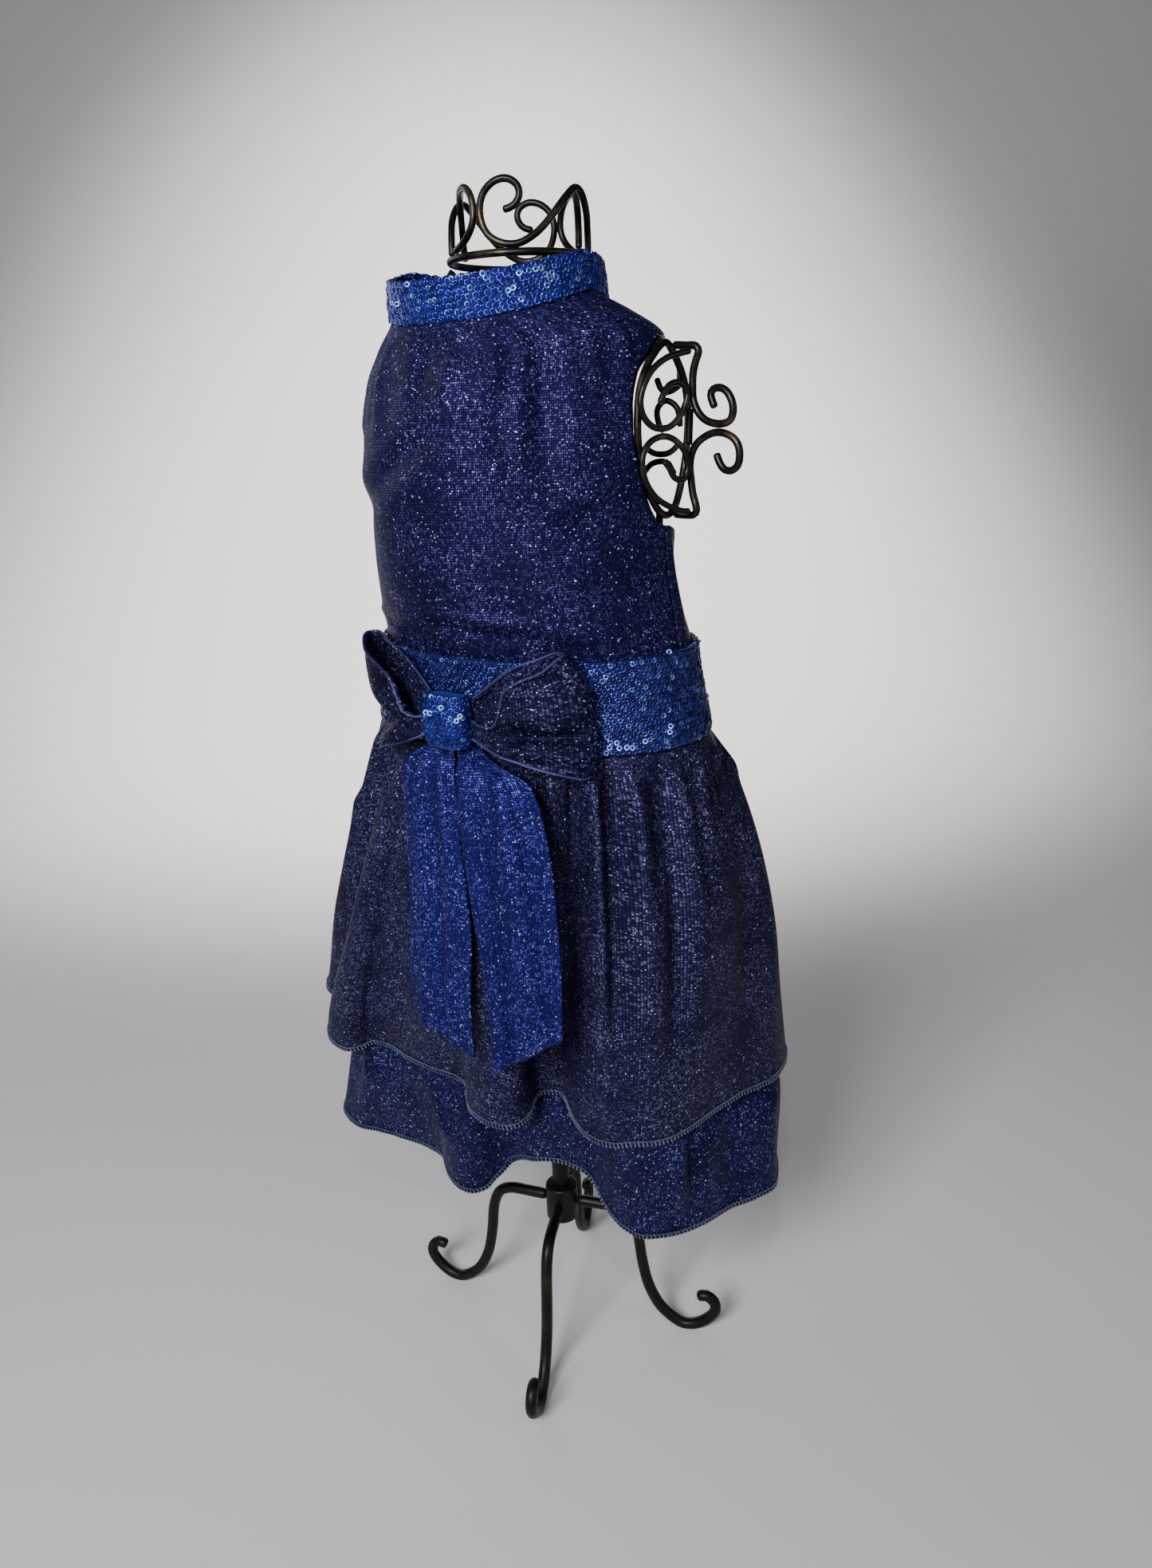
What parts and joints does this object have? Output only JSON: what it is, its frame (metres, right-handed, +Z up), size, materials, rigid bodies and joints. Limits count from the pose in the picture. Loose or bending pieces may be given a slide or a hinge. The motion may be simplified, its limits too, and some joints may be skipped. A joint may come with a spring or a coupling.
{
  "type": "dog dress on wire dress form",
  "caption": "Sleeveless dog dress in navy glitter knit with sequin collar and belt, waist bow and two-tier skirt, on a black scrolled wire dress form.",
  "frame": {"origin": "middle of the bounding box at floor level, where the stand's feet rest", "axes": "+Z up; -Y is the side with the bow, which lies on the dog's back; +X is to the right when the bow side is faced"},
  "size_m": [0.278, 0.1887, 0.6599],
  "materials": {
    "navy_glitter_knit": "matt rib knit with small bright glitter dots",
    "royal_sequins": "knit band covered in small glossy ring sequins",
    "black_iron_wire": "black paint over round iron wire, slightly bronze where it is worn"
  },
  "bodies": {
    "root": {"belt": "royal_sequins", "bodice_back": "navy_glitter_knit", "bodice_front": "navy_glitter_knit", "bow_knot": "royal_sequins", "bow_loop_left": "navy_glitter_knit", "bow_loop_right": "navy_glitter_knit", "bow_tail_left": "navy_glitter_knit", "bow_tail_right": "navy_glitter_knit", "cap_bar_left": "black_iron_wire", "cap_bar_right": "black_iron_wire", "cap_curl_lower_left": "black_iron_wire", "cap_curl_lower_right": "black_iron_wire", "cap_curl_upper_left": "black_iron_wire", "cap_curl_upper_right": "black_iron_wire", "cap_hook_bottom_left": "black_iron_wire", "cap_hook_bottom_right": "black_iron_wire", "cap_hook_lower_left": "black_iron_wire", "cap_hook_lower_right": "black_iron_wire", "cap_hook_middle_left": "black_iron_wire", "cap_hook_middle_right": "black_iron_wire", "cap_hook_upper_left": "black_iron_wire", "cap_hook_upper_right": "black_iron_wire", "cap_ring_left": "black_iron_wire", "cap_ring_right": "black_iron_wire", "cap_scroll_lower_left": "black_iron_wire", "cap_scroll_lower_right": "black_iron_wire", "cap_scroll_upper_left": "black_iron_wire", "cap_scroll_upper_right": "black_iron_wire", "collar": "royal_sequins", "crown_leaf_back": "black_iron_wire", "crown_leaf_front": "black_iron_wire", "crown_wave_back": "black_iron_wire", "crown_wave_front": "black_iron_wire", "hip_ring": "black_iron_wire", "hip_spoke_back": "black_iron_wire", "hip_spoke_front": "black_iron_wire", "hip_spoke_left": "black_iron_wire", "hip_spoke_right": "black_iron_wire", "hub": "black_iron_wire", "leg_1": "black_iron_wire", "leg_2": "black_iron_wire", "leg_3": "black_iron_wire", "leg_4": "black_iron_wire", "neck_ring": "black_iron_wire", "post": "black_iron_wire", "shoulder_wire_left": "black_iron_wire", "shoulder_wire_right": "black_iron_wire", "side_rib_left": "black_iron_wire", "side_rib_right": "black_iron_wire", "skirt_lower": "navy_glitter_knit", "skirt_upper": "navy_glitter_knit"}
  },
  "joints": []
}
